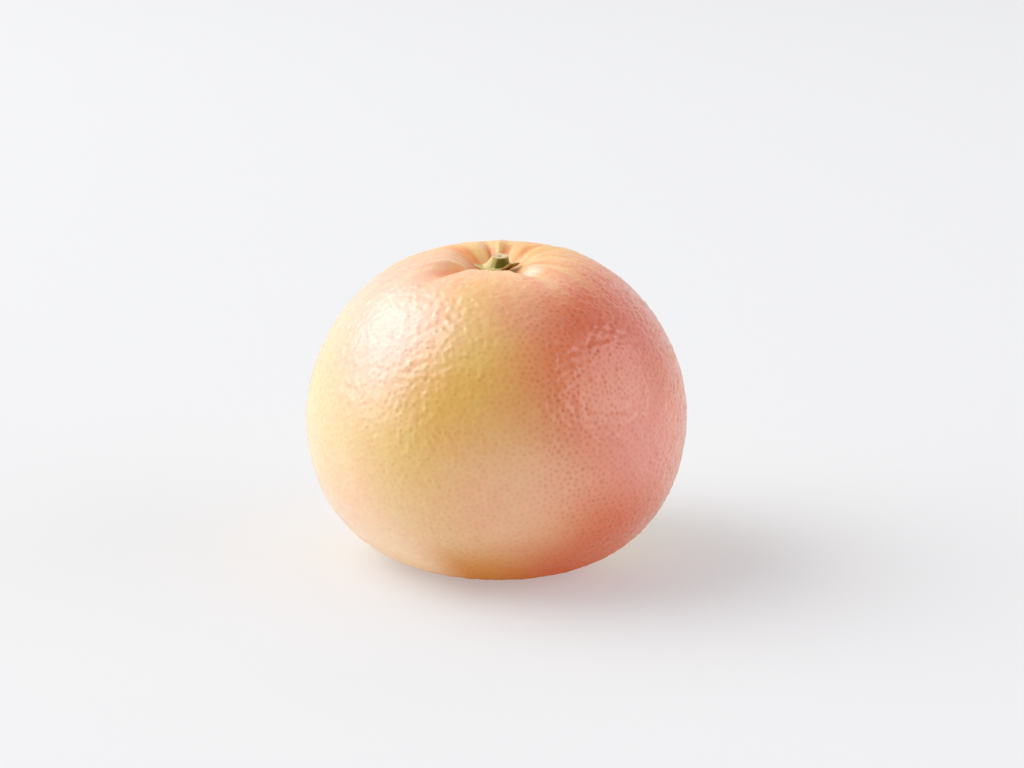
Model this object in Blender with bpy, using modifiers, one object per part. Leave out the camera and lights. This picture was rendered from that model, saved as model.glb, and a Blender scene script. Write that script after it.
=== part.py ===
"""A grapefruit resting on its blossom end, with the green calyx and the cut stub of its stem.

The fruit is one closed solid. Each point of its skin is placed by a formula: a round body, the
dish that the stem sits in, and the folds that run out of the dish between the lobes of the crown.
The calyx and the stub are solids of their own, and each sits a small gap above what carries it.

Lengths are written in millimetres and angles in degrees, and the meshes are in metres. +Z is up,
the origin is on the surface that the fruit rests on, under the fruit's axis, and the front is -Y.
"""

import math
from collections import namedtuple

import bmesh
import bpy

MM = 0.001
GAP = 0.3  # between one solid and the next

# The round body. Radius and height follow sin and cos of the angle from the crown, each to a power.
EQUATOR_RADIUS = 55.0
EQUATOR_HEIGHT = 42.8
BODY_HEIGHT = 92.1  # before the crown sinks round the stem
UPPER_RADIUS_POWER = 0.85
UPPER_HEIGHT_POWER = 1.12
LOWER_RADIUS_POWER = 0.68
LOWER_HEIGHT_POWER = 0.94
BASE_DROP = 2.0  # how far the round body would reach below the surface that flattens it
FLAT_BLEND = 1.5  # height over which the underside curves into the flat spot
BASE_SHIFT = 0.6  # the flat spot lies this far to +X of the fruit's axis

# Slow swellings round the body: how many there are, their height, and where one of them peaks
SWELLINGS = ((2, 0.45, 45.0), (4, 0.25, 22.5))

# The dish round the stem, and how far the crown's front side lies lower than its back
DISH_DEPTH = 7.7
DISH_RADIUS = 9.0  # where the dish has half its depth
LEAN_DEPTH = 2.6
LEAN_RADIUS = 14.0  # where the front lies lowest

# The folds of the crown. Each starts at an azimuth, is deepest at one distance from the stem, fades
# out at its reach, and has turned by its bend there. A negative depth is a swelling.
Fold = namedtuple("Fold", "azimuth bend depth half_width deepest_at reach")
FOLD_SPREAD = 0.04  # how much a fold widens for each millimetre further out
FOLDS = (
    Fold(211, 20, 3.2, 3.0, 13, 36),
    Fold(299, 7, 2.9, 2.6, 12, 31),
    Fold(97, 4, 2.2, 1.3, 9, 19),
    Fold(76, -4, 1.3, 1.3, 9, 19),
    Fold(143, 8, 1.2, 2.2, 9, 22),
    Fold(167, -6, 0.6, 0.9, 9, 18),
    Fold(182, -6, 0.6, 0.8, 9, 17),
    Fold(197, -4, 0.6, 0.9, 9, 18),
    Fold(46, -8, 0.8, 2.0, 11, 26),
    Fold(20, -6, 0.7, 1.7, 12, 30),
    Fold(-6, -3, 0.5, 1.6, 12, 26),
    Fold(-30, 0, 0.7, 1.8, 11, 26),
    Fold(87, 0, -0.6, 2.0, 10, 20),
    Fold(133, 0, 0.3, 7.0, 22, 44),
    Fold(32, 0, -0.4, 6.0, 28, 50),
)
SKIN_SEGMENTS = 80
SKIN_RINGS = 48
CROWN_RING_SPACING = 0.35  # spacing of the rings at the crown, as a share of their mean spacing

# The calyx: a five-lobed star that follows the dish, with its rim raised like a cup on one side
LOBES = ((4, 6.6), (92, 5.6), (190, 6.4), (252, 6.2), (302, 6.6))  # azimuth and length of each lobe
CALYX_CORE_RADIUS = 3.9
LOBE_HALF_WIDTH = 24.0  # degrees
CALYX_THICKNESS = 0.9
CUP_HEIGHT = 1.5
CUP_AZIMUTH = -38.0
CUP_HALF_WIDTH = 42.0  # degrees
CUP_RADII = (3.7, 5.8)  # the cup's wall rises between these distances from the stem's middle
CALYX_SEGMENTS = 60
CALYX_RINGS = 10

# The stub of the stem, cut across and leaning to the front
STUB_HEIGHT = 2.6
STUB_TOP_RADIUS = 2.45
STUB_WAIST_RADIUS = 2.6
STUB_BASE_RADIUS = 3.1
STUB_EDGE_RADIUS = 0.25
CUT_FACE_HOLLOW = 0.2
STUB_LEAN = 6.0
STUB_SHIFT = 0.9  # to +X of the fruit's axis
STUB_STEPS = 28

SKIN_COLOUR = (0.83, 0.42, 0.17)
CALYX_COLOUR = (0.30, 0.33, 0.08)
STEM_COLOUR = (0.42, 0.38, 0.22)


def turn_between(azimuth, other):
    """The angle from one azimuth to another, in radians, from -pi to pi."""
    return math.remainder(azimuth - math.radians(other), math.tau)


def body_point(from_crown):
    """Radius and height of the round body at an angle from the crown, in radians."""
    across = math.sin(from_crown)
    along = math.cos(from_crown)
    if along > 0:
        radius = EQUATOR_RADIUS * across**UPPER_RADIUS_POWER
        rise = (BODY_HEIGHT - EQUATOR_HEIGHT) * along**UPPER_HEIGHT_POWER
        return radius, EQUATOR_HEIGHT + rise
    radius = EQUATOR_RADIUS * max(across, 0.0) ** LOWER_RADIUS_POWER
    drop = (EQUATOR_HEIGHT + BASE_DROP) * (-along) ** LOWER_HEIGHT_POWER
    return radius, EQUATOR_HEIGHT - drop


def flattened(height):
    """A height with everything near or below the resting surface curved into it."""
    if height > FLAT_BLEND:
        return height
    return max(height + FLAT_BLEND, 0.0) ** 2 / (4 * FLAT_BLEND)


def dish_sink(radius, azimuth):
    """How far the smooth crown lies below the round body."""
    dish = DISH_DEPTH / (1 + (radius / DISH_RADIUS) ** 4)
    reach = (radius / LEAN_RADIUS) ** 2
    to_front = ((1 - math.sin(azimuth)) / 2) ** 2
    return dish + LEAN_DEPTH * to_front * reach * math.exp(1 - reach)


def fold_sink(radius, azimuth):
    """How far the folds of the crown lie below the smooth crown."""
    sink = 0.0
    for fold in FOLDS:
        turn = turn_between(azimuth, fold.azimuth + fold.bend * min(radius / fold.reach, 1.0))
        if math.cos(turn) < 0:
            continue
        across = radius * math.sin(turn)
        half_width = fold.half_width * (1 + FOLD_SPREAD * (radius - fold.deepest_at))
        fade = (radius - fold.deepest_at) / (0.55 * (fold.reach - fold.deepest_at))
        sink += fold.depth * math.exp(-((across / half_width) ** 2) - fade**2)
    return sink


def skin_point(azimuth, from_crown):
    """The place of the skin, in millimetres, at an azimuth and an angle from the crown."""
    radius, height = body_point(from_crown)
    if height > EQUATOR_HEIGHT:
        height -= dish_sink(radius, azimuth) + fold_sink(radius, azimuth)
    height = flattened(height)
    swell = math.sin(from_crown) ** 2
    for count, size, peak in SWELLINGS:
        radius += size * swell * math.cos(count * turn_between(azimuth, peak))
    shift = BASE_SHIFT * max(1 - height / EQUATOR_HEIGHT, 0.0) ** 2
    return radius * math.cos(azimuth) + shift, radius * math.sin(azimuth), height


def smooth_crown_height(radius, azimuth):
    """Height of the crown without its folds, near the stem, where the body is almost level."""
    from_crown = math.asin((radius / EQUATOR_RADIUS) ** (1 / UPPER_RADIUS_POWER))
    return body_point(from_crown)[1] - dish_sink(radius, azimuth)


def placed_sphere(name, segments, rings, place, material, collection):
    """A UV sphere whose every point is moved to place(azimuth, angle from the top), in millimetres."""
    shape = bmesh.new()
    bmesh.ops.create_uvsphere(shape, u_segments=segments, v_segments=rings, radius=1.0)
    for vertex in shape.verts:
        azimuth = math.atan2(vertex.co.y, vertex.co.x)
        from_top = math.acos(max(-1.0, min(1.0, vertex.co.z)))
        vertex.co = [MM * value for value in place(azimuth, from_top)]
    mesh = bpy.data.meshes.new(name)
    shape.to_mesh(mesh)
    shape.free()
    mesh.shade_smooth()
    mesh.materials.append(material)
    piece = bpy.data.objects.new(name, mesh)
    collection.objects.link(piece)
    return piece


def make_material(name, colour, roughness):
    material = bpy.data.materials.new(name)
    material.use_nodes = True
    surface = material.node_tree.nodes["Principled BSDF"]
    surface.inputs["Base Color"].default_value = (*colour, 1.0)
    surface.inputs["Roughness"].default_value = roughness
    surface.inputs["Metallic"].default_value = 0.0
    return material


def make_fruit(collection):
    """The whole fruit, with its rings closer together at the crown, where the folds are."""

    def place(azimuth, from_top):
        share = from_top / math.pi
        closer = CROWN_RING_SPACING * share + (1 - CROWN_RING_SPACING) * share**2
        return skin_point(azimuth, math.pi * closer)

    skin = make_material("grapefruit_skin", SKIN_COLOUR, 0.38)
    return placed_sphere("fruit", SKIN_SEGMENTS, SKIN_RINGS, place, skin, collection)


def calyx_radius(azimuth):
    """How far the calyx reaches from the stem's middle: a round core, and a lobe at each azimuth."""
    radius = CALYX_CORE_RADIUS
    for lobe_azimuth, length in LOBES:
        turn = turn_between(azimuth, lobe_azimuth) / math.radians(LOBE_HALF_WIDTH)
        radius += (length - CALYX_CORE_RADIUS) * math.exp(-(turn**2))
    return radius


def cup_rise(radius, azimuth):
    """How far the calyx is raised into its cup."""
    inner, outer = CUP_RADII
    share = max(0.0, min(1.0, (radius - inner) / (outer - inner)))
    turn = turn_between(azimuth, CUP_AZIMUTH) / math.radians(CUP_HALF_WIDTH)
    return CUP_HEIGHT * share * share * (3 - 2 * share) * math.exp(-(turn**2))


def make_calyx(collection):
    """A thin lens with a lobed outline, which follows the dish a gap above it."""

    def place(azimuth, from_top):
        radius = calyx_radius(azimuth) * math.sin(from_top)
        height = smooth_crown_height(radius, azimuth) + GAP + cup_rise(radius, azimuth)
        height += CALYX_THICKNESS * (1 + math.cos(from_top)) / 2
        return radius * math.cos(azimuth), radius * math.sin(azimuth), height

    green = make_material("grapefruit_calyx", CALYX_COLOUR, 0.6)
    return placed_sphere("calyx", CALYX_SEGMENTS, CALYX_RINGS, place, green, collection)


def make_stem(collection):
    """The stub: a profile turned round its own axis, from the middle of the cut face to its foot."""
    corner = STUB_TOP_RADIUS - STUB_EDGE_RADIUS
    profile = [(0.0, STUB_HEIGHT - CUT_FACE_HOLLOW), (0.5 * corner, STUB_HEIGHT - 0.8 * CUT_FACE_HOLLOW)]
    for step in range(4):
        turn = math.radians(30 * step)
        across = corner + STUB_EDGE_RADIUS * math.sin(turn)
        profile.append((across, STUB_HEIGHT - STUB_EDGE_RADIUS * (1 - math.cos(turn))))
    profile += [
        (STUB_WAIST_RADIUS, 0.5 * STUB_HEIGHT),
        (0.5 * (STUB_WAIST_RADIUS + STUB_BASE_RADIUS), 0.2 * STUB_HEIGHT),
        (STUB_BASE_RADIUS, 0.06 * STUB_HEIGHT),
        (STUB_BASE_RADIUS - 0.2, 0.0),
        (0.0, 0.0),
    ]
    mesh = bpy.data.meshes.new("stem")
    points = [(MM * radius, 0.0, MM * height) for radius, height in profile]
    mesh.from_pydata(points, [(i, i + 1) for i in range(len(points) - 1)], [])
    mesh.materials.append(make_material("grapefruit_stem", STEM_COLOUR, 0.7))
    stem = bpy.data.objects.new("stem", mesh)
    collection.objects.link(stem)
    screw = stem.modifiers.new("turn", "SCREW")
    screw.axis = "Z"
    screw.steps = STUB_STEPS
    screw.render_steps = STUB_STEPS
    screw.use_merge_vertices = True
    screw.merge_threshold = 0.0001
    screw.use_smooth_shade = True
    foot = smooth_crown_height(0.0, 0.0) + GAP + CALYX_THICKNESS + GAP
    foot += STUB_BASE_RADIUS * math.sin(math.radians(STUB_LEAN))
    stem.location = (MM * STUB_SHIFT, 0.0, MM * foot)
    stem.rotation_euler = (math.radians(STUB_LEAN), 0.0, 0.0)
    return stem


def main():
    for leftover in list(bpy.data.objects):
        bpy.data.objects.remove(leftover, do_unlink=True)
    collection = bpy.data.collections.new("grapefruit")
    bpy.context.scene.collection.children.link(collection)
    make_fruit(collection)
    make_calyx(collection)
    make_stem(collection)


main()
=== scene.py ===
# %% [markdown]
# # A grapefruit, yellow on one side and blushed coral on the other
#
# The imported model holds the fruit, the calyx and the stub of the stem as plain solids at their real
# size. This lesson dresses them: a peel with every oil gland pressed into it, a green star of sepals,
# a cut stem, and the soft light of a photographer's table. Lengths are written in millimetres and
# turned into metres by MM. The front of the fruit is -Y, and +Z is up.

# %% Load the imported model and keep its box
import math
import random
from collections import namedtuple

import bmesh
import bpy
import numpy as np
from mathutils import Matrix, Vector, noise
from mathutils.bvhtree import BVHTree


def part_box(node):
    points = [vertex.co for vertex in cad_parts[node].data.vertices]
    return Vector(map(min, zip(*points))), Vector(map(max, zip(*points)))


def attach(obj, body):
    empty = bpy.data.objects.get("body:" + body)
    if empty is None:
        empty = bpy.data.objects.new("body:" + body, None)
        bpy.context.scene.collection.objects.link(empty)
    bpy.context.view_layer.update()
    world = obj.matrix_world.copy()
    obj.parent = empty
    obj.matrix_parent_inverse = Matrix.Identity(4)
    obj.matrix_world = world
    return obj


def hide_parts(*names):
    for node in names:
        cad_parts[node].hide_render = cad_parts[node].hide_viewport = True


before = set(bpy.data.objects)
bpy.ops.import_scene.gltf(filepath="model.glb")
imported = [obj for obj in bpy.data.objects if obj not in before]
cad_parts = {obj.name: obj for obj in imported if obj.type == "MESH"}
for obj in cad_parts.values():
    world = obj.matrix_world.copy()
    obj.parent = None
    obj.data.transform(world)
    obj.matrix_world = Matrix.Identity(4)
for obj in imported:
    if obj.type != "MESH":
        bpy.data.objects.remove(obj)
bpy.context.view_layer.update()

MM = 0.001
scene = bpy.context.scene

# %% [markdown]
# ## The camera
#
# The photograph looks down on the fruit by about 15 degrees, from far enough away that the outline
# hardly shows any perspective. A long lens at 0.7 m does the same. The fruit's middle isn't in the
# middle of the picture, so the lens is shifted by that much, and the camera still faces the fruit.

# %% Camera
PICTURE_WIDTH = 1024  # pixels
PICTURE_HEIGHT = 768
AIM = Vector((0.0, 0.0, 45.0)) * MM
AIM_PIXEL = (496.8, 404.0)  # where the photograph shows that point
CAMERA_DISTANCE = 0.7  # metres
CAMERA_ELEVATION = math.radians(15.0)

lens = bpy.data.cameras.new("camera")
lens.lens = 85.0
lens.sensor_width = 36.0
lens.shift_x = (PICTURE_WIDTH / 2 - AIM_PIXEL[0]) / PICTURE_WIDTH
lens.shift_y = (AIM_PIXEL[1] - PICTURE_HEIGHT / 2) / PICTURE_WIDTH
camera = bpy.data.objects.new("camera", lens)
back_and_up = Vector((0.0, -math.cos(CAMERA_ELEVATION), math.sin(CAMERA_ELEVATION)))
camera.location = AIM + CAMERA_DISTANCE * back_and_up
camera.rotation_euler = (math.pi / 2 - CAMERA_ELEVATION, 0.0, 0.0)
scene.collection.objects.link(camera)
scene.camera = camera
print("camera at", [round(value, 3) for value in camera.location])

# %% [markdown]
# ## Helpers
#
# Every material here is a tree of nodes. One helper adds a node, sets its options, and either sets
# each of its inputs or links it to another node's output, so that a tree reads from top to bottom.
# The others stand for steps that come again and again: arithmetic, easing a value from one range into
# another, blending two colours. The last one turns a finished bmesh into an object.


# %% Helpers for node trees and objects
def feed(tree, node, inputs):
    """Give a node's inputs their values, or link them to other nodes' outputs."""
    for name, value in inputs.items():
        socket = node.inputs[name]
        if isinstance(value, bpy.types.NodeSocket):
            tree.links.new(value, socket)
        elif socket.type == "RGBA":
            socket.default_value = (*value, 1.0)
        else:
            socket.default_value = value


def add_node(tree, kind, inputs=None, **options):
    """A new node, with its options set and its inputs fed."""
    made = tree.nodes.new(kind)
    for name, value in options.items():
        setattr(made, name, value)
    feed(tree, made, inputs or {})
    return made


def calculate(tree, operation, first, second=0.0, third=0.0):
    """One step of arithmetic on values."""
    inputs = {0: first, 1: second, 2: third}
    return add_node(tree, "ShaderNodeMath", inputs, operation=operation).outputs[0]


def product(tree, first, second):
    """Two values multiplied."""
    return calculate(tree, "MULTIPLY", first, second)


def vector_step(tree, operation, first, second=(0.0, 0.0, 0.0), output="Vector"):
    """One step of arithmetic on vectors."""
    inputs = {0: first, 1: second}
    return add_node(tree, "ShaderNodeVectorMath", inputs, operation=operation).outputs[output]


def distance(tree, first, second):
    """How far apart two places are."""
    return vector_step(tree, "DISTANCE", first, second, "Value")


def read_noise(tree, place, scale, detail, roughness=0.5):
    """Soft noise at a place, about 0.5 on average."""
    inputs = {"Vector": place, "Scale": scale, "Detail": detail, "Roughness": roughness}
    return add_node(tree, "ShaderNodeTexNoise", inputs).outputs["Fac"]


def remap(tree, value, low, high, to_low=0.0, to_high=1.0):
    """A value eased from one range into another, and held at its ends."""
    inputs = {"Value": value, "From Min": low, "From Max": high, "To Min": to_low, "To Max": to_high}
    return add_node(tree, "ShaderNodeMapRange", inputs, interpolation_type="SMOOTHSTEP").outputs[0]


def blend(tree, share, first, second, way="MIX"):
    """Two colours blended by a share."""
    inputs = {0: share, 6: first, 7: second}
    made = add_node(tree, "ShaderNodeMix", inputs, data_type="RGBA", blend_type=way, clamp_factor=True)
    return made.outputs[2]


def kept_by_mesh(tree, name, output="Fac"):
    """A value or a place that the mesh keeps at each of its points or faces."""
    return add_node(tree, "ShaderNodeAttribute", attribute_name=name).outputs[output]


def add_bump(tree, surface, height):
    """Fine relief from a height in metres, on the shader's normal."""
    bump = add_node(tree, "ShaderNodeBump", {"Strength": 1.0, "Distance": 1.0, "Height": height})
    feed(tree, surface, {"Normal": bump.outputs["Normal"]})


def new_material(name):
    """A new material, its tree, and the Principled BSDF in it."""
    material = bpy.data.materials.new(name)
    material.use_nodes = True
    return material, material.node_tree, material.node_tree.nodes["Principled BSDF"]


def new_group(name, inputs, outputs):
    """A node group with named sockets, what its input node gives, and its output node."""
    tree = bpy.data.node_groups.new(name, "ShaderNodeTree")
    for socket, kind, value in inputs:
        made = tree.interface.new_socket(name=socket, in_out="INPUT", socket_type=kind)
        made.default_value = value
    for socket, kind in outputs:
        tree.interface.new_socket(name=socket, in_out="OUTPUT", socket_type=kind)
    return tree, tree.nodes.new("NodeGroupInput").outputs, tree.nodes.new("NodeGroupOutput")


def use_group(tree, group, inputs):
    """The outputs of a node group placed in a tree."""
    return add_node(tree, "ShaderNodeGroup", inputs, node_tree=group).outputs


def add_object(name, shape, smooth=True):
    """An object with the faces of a bmesh, at the origin."""
    for face in shape.faces:
        face.smooth = smooth
    mesh = bpy.data.meshes.new(name)
    shape.to_mesh(mesh)
    shape.free()
    made = bpy.data.objects.new(name, mesh)
    scene.collection.objects.link(made)
    return made


print("helpers ready")

# %% [markdown]
# ## The table
#
# The fruit stands on a white table that runs out of the picture on every side, so the picture has no
# horizon. A white table that only reflects its lamps would turn grey behind the fruit, so it is given
# a faint even glow of its own, which leaves a soft shadow where the fruit stands.

# %% Table
TABLE_HALF_WIDTH = 6.0  # metres
TABLE_COLOUR = (0.47, 0.47, 0.475)
TABLE_GLOW = (0.98, 0.98, 1.0)
TABLE_GLOW_STRENGTH = 0.34

table_shape = bmesh.new()
bmesh.ops.create_grid(table_shape, x_segments=1, y_segments=1, size=TABLE_HALF_WIDTH)
table = add_object("table", table_shape, smooth=False)
material, tree, surface = new_material("white_table")
feed(tree, surface, {"Base Color": TABLE_COLOUR, "Roughness": 0.9, "Specular IOR Level": 0.1})
feed(tree, surface, {"Emission Color": TABLE_GLOW, "Emission Strength": TABLE_GLOW_STRENGTH})
table.data.materials.append(material)
print("table is", 2 * TABLE_HALF_WIDTH, "m wide")

# %% [markdown]
# ## The lamps and the room
#
# A big softbox high on the left makes the round white gleam on the left shoulder. A low one beside it
# lights the left edge, and a weaker one on the right lifts the coral side. The lower half of the peel
# mirrors the white table.
#
# A real softbox is brightest in its middle, and that is what shows the texture of the peel: where the
# light mirrored in it changes from bright to dark, every small tilt of the skin shows. So each lamp
# is an ellipse whose light fades towards its rim. The lamps are hidden from the camera, so a view
# from another side doesn't show them.
#
# The room behind the fruit is brighter than the room in front of it. The peel mirrors it along its
# outline, which makes its edge pale on both sides, as in the photograph.

# %% Lamps and world
Softbox = namedtuple("Softbox", "name azimuth elevation half_width half_height brightness core")
SOFTBOXES = (  # angles in degrees; core is the share of the lamp that shines at its full brightness
    Softbox("key", 172, 43, 43, 36, 4.85, 0.12),
    Softbox("left_panel", 195, 12, 32, 12, 1.8, 0.7),
    Softbox("fill", -10, 22, 40, 25, 1.8, 0.6),
)
SOFTBOX_DISTANCE = 5.0  # metres
ROOM_COLOUR = (0.97, 0.98, 1.0)
FRONT_BRIGHTNESS = 0.30
BACK_BRIGHTNESS = 0.9
BACK_RANGE = (0.1, 0.8)  # where the room changes from one to the other, 0 at the sides, 1 at the back


def add_softbox(box):
    """An elliptical lamp that faces the middle of the fruit, with its angles as seen from there."""
    light = bpy.data.lights.new(box.name, "AREA")
    light.shape = "ELLIPSE"
    light.size = 2 * SOFTBOX_DISTANCE * math.tan(math.radians(box.half_width))
    light.size_y = 2 * SOFTBOX_DISTANCE * math.tan(math.radians(box.half_height))
    light.energy = box.brightness * math.pi * math.pi / 4 * light.size * light.size_y
    light.use_nodes = True
    tree = light.node_tree
    across = add_node(tree, "ShaderNodeNewGeometry").outputs["Parametric"]
    from_middle = distance(tree, across, (0.5, 0.5, 0.0))
    fade = remap(tree, from_middle, 0.5 * box.core, 0.5, 1.0, 0.0)
    feed(tree, tree.nodes["Emission"], {"Strength": fade})
    lamp = bpy.data.objects.new(box.name, light)
    to_side = Matrix.Rotation(math.radians(box.azimuth), 3, "Z")
    upwards = Matrix.Rotation(math.radians(-box.elevation), 3, "Y")
    towards = to_side @ upwards @ Vector((1.0, 0.0, 0.0))
    lamp.location = AIM + SOFTBOX_DISTANCE * towards
    lamp.rotation_euler = towards.to_track_quat("Z", "Y").to_euler()
    lamp.visible_camera = False
    scene.collection.objects.link(lamp)
    return light.energy


for softbox in SOFTBOXES:
    print(softbox.name, round(add_softbox(softbox)), "W")

world = bpy.data.worlds.new("pale_room")
world.use_nodes = True
room = world.node_tree
looking = add_node(room, "ShaderNodeTexCoord").outputs["Generated"]
to_back = add_node(room, "ShaderNodeSeparateXYZ", {0: looking}).outputs["Y"]
brightness = remap(room, to_back, *BACK_RANGE, FRONT_BRIGHTNESS, BACK_BRIGHTNESS)
feed(room, room.nodes["Background"], {"Color": ROOM_COLOUR, "Strength": brightness})
scene.world = world
scene.view_settings.view_transform = "Standard"

# %% [markdown]
# ## The form of the fruit
#
# The solids come from a formula, and the peel has to lie on them, so the same formula is written here
# again. First the round body: its radius and height follow powers of sin and cos of the angle from the
# crown, which give it fuller shoulders and a narrower base than a ball has. Two faint waves round the
# fruit keep it from looking turned on a lathe, and the base is curved into a small flat spot.

# %% The round body
EQUATOR_RADIUS = 55.0
EQUATOR_HEIGHT = 42.8
BODY_HEIGHT = 92.1
UPPER_RADIUS_POWER = 0.85
UPPER_HEIGHT_POWER = 1.12
LOWER_RADIUS_POWER = 0.68
LOWER_HEIGHT_POWER = 0.94
BASE_DROP = 2.0  # how far the round body would reach below the table
FLAT_BLEND = 1.5
BASE_SHIFT = 0.6  # the base stands this far to the right of the crown
SWELLINGS = ((2, 0.45, 45.0), (4, 0.25, 22.5))  # how many, their height, azimuth of one peak


def turn_between(azimuth, other):
    """The angle from an azimuth in degrees to one in radians, from -pi to pi."""
    return math.remainder(azimuth - math.radians(other), math.tau)


def body_point(from_crown):
    """Radius and height of the round body at an angle from the crown, in radians."""
    across = max(math.sin(from_crown), 0.0)
    along = math.cos(from_crown)
    if along > 0:
        radius = EQUATOR_RADIUS * across**UPPER_RADIUS_POWER
        rise = (BODY_HEIGHT - EQUATOR_HEIGHT) * along**UPPER_HEIGHT_POWER
        return radius, EQUATOR_HEIGHT + rise
    radius = EQUATOR_RADIUS * across**LOWER_RADIUS_POWER
    drop = (EQUATOR_HEIGHT + BASE_DROP) * (-along) ** LOWER_HEIGHT_POWER
    return radius, EQUATOR_HEIGHT - drop


def flattened(height):
    """A height with everything near or below the table curved into it."""
    if height > FLAT_BLEND:
        return height
    return max(height + FLAT_BLEND, 0.0) ** 2 / (4 * FLAT_BLEND)


print("equator at", EQUATOR_HEIGHT, "mm, round body up to", body_point(0.0)[1], "mm")

# %% [markdown]
# ## The crown
#
# The stem sits in a dish, and the lobes of the crown bulge round it with folds between them. Towards
# the front the crown leans down a little. Each fold is a groove that starts in the dish, is deepest a
# few millimetres out, bends on its way and dies out on the shoulder. A fold of less than no depth is
# a ridge. How much of a point lies in a fold is kept as well, since the furrows get a painted orange
# shade.

# %% The dish and the folds of the crown
DISH_DEPTH = 7.7
DISH_RADIUS = 9.0
LEAN_DEPTH = 2.6
LEAN_RADIUS = 14.0
FOLD_SPREAD = 0.04  # how much wider a fold gets with each millimetre outwards
FOLD_FADE = 0.55  # the share of its reach in which a fold loses most of its depth
FURROW_DEPTH = 1.2  # a fold at least this deep is coloured in full
Fold = namedtuple("Fold", "azimuth bend depth half_width deepest_at reach")
FOLDS = (  # azimuth and bend in degrees
    Fold(211, 20, 3.2, 3.0, 13, 36),
    Fold(299, 7, 2.9, 2.6, 12, 31),
    Fold(97, 4, 2.2, 1.3, 9, 19),
    Fold(76, -4, 1.3, 1.3, 9, 19),
    Fold(143, 8, 1.2, 2.2, 9, 22),
    Fold(167, -6, 0.6, 0.9, 9, 18),
    Fold(182, -6, 0.6, 0.8, 9, 17),
    Fold(197, -4, 0.6, 0.9, 9, 18),
    Fold(46, -8, 0.8, 2.0, 11, 26),
    Fold(20, -6, 0.7, 1.7, 12, 30),
    Fold(-6, -3, 0.5, 1.6, 12, 26),
    Fold(-30, 0, 0.7, 1.8, 11, 26),
    Fold(87, 0, -0.6, 2.0, 10, 20),
    Fold(133, 0, 0.3, 7.0, 22, 44),
    Fold(32, 0, -0.4, 6.0, 28, 50),
)


def dish_sink(radius, azimuth):
    """How far the smooth crown lies below the round body."""
    dish = DISH_DEPTH / (1 + (radius / DISH_RADIUS) ** 4)
    reach = (radius / LEAN_RADIUS) ** 2
    to_front = ((1 - math.sin(azimuth)) / 2) ** 2
    return dish + LEAN_DEPTH * to_front * reach * math.exp(1 - reach)


def fold_sink(radius, azimuth):
    """How far the folds of the crown lie below the smooth crown, and how much they are furrows."""
    sink = 0.0
    furrow = 0.0
    for fold in FOLDS:
        turn = turn_between(azimuth, fold.azimuth + fold.bend * min(radius / fold.reach, 1.0))
        if math.cos(turn) < 0:
            continue
        across = radius * math.sin(turn)
        half_width = fold.half_width * (1 + FOLD_SPREAD * (radius - fold.deepest_at))
        fade = (radius - fold.deepest_at) / (FOLD_FADE * (fold.reach - fold.deepest_at))
        share = math.exp(-((across / half_width) ** 2) - fade**2)
        sink += fold.depth * share
        furrow += max(0.0, min(1.0, fold.depth / FURROW_DEPTH)) * share
    return sink, furrow


def smooth_crown_height(radius, azimuth):
    """Height of the crown without its folds."""
    from_crown = math.asin((radius / EQUATOR_RADIUS) ** (1 / UPPER_RADIUS_POWER))
    return body_point(from_crown)[1] - dish_sink(radius, azimuth)


print("the dish is", round(dish_sink(0.0, 0.0), 2), "mm deep at the stem,", len(FOLDS), "folds")

# %% [markdown]
# ## The net of oil glands
#
# A grapefruit's peel is pressed full of pits, one over each oil gland, about 1.9 mm apart. They are
# packed like the cells of a honeycomb, but none is quite regular. A displacement map would need
# millions of faces to draw them, so the mesh itself is that honeycomb. Points are spread evenly over
# a ball with a little disorder, and a hull joins them into triangles.

# %% Spread the glands over a ball
GLAND_COUNT = 11000
GLAND_DISORDER = 0.38  # as a share of their spacing
RELAX_ROUNDS = 2
GOLDEN_TURN = math.pi * (3 - math.sqrt(5))  # this turn from one point to the next spreads them evenly

gland_spacing = math.sqrt(4 * math.pi / (GLAND_COUNT * math.sin(math.pi / 3)))
draw = random.Random(41)
net = bmesh.new()
gland_number = net.faces.layers.int.new("gland_number")
gland_place = net.faces.layers.float_vector.new("gland")
pit_depth = net.verts.layers.float.new("pit")
furrow_share = net.verts.layers.float.new("furrow")
for step in range(GLAND_COUNT):
    height = 1 - (2 * step + 1) / GLAND_COUNT
    width = math.sqrt(1 - height * height)
    even = Vector((width * math.cos(step * GOLDEN_TURN), width * math.sin(step * GOLDEN_TURN), height))
    stray = Vector([draw.uniform(-1, 1) for _ in range(3)])
    net.verts.new((even + GLAND_DISORDER * gland_spacing * stray).normalized())


def ease_apart():
    """Move each point halfway to the middle of its neighbours, and back onto the ball."""
    bmesh.ops.smooth_vert(
        net, verts=list(net.verts), factor=0.5, use_axis_x=True, use_axis_y=True, use_axis_z=True
    )
    for vertex in net.verts:
        vertex.co.normalize()


for _ in range(RELAX_ROUNDS):
    bmesh.ops.delete(net, geom=list(net.edges), context="EDGES_FACES")
    bmesh.ops.convex_hull(net, input=list(net.verts))
    loose = [vertex for vertex in net.verts if not vertex.link_faces]
    bmesh.ops.delete(net, geom=loose, context="VERTS")
    ease_apart()
print(len(net.verts), "glands,", len(net.faces), "triangles between them")

# %% [markdown]
# ## From triangles to cells
#
# Each triangle between three glands becomes a corner where three cells meet. Poking a triangle puts a
# point in its middle. Turning the old edges then joins these new points, and dissolving the glands
# leaves one cell round each of them.

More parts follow.
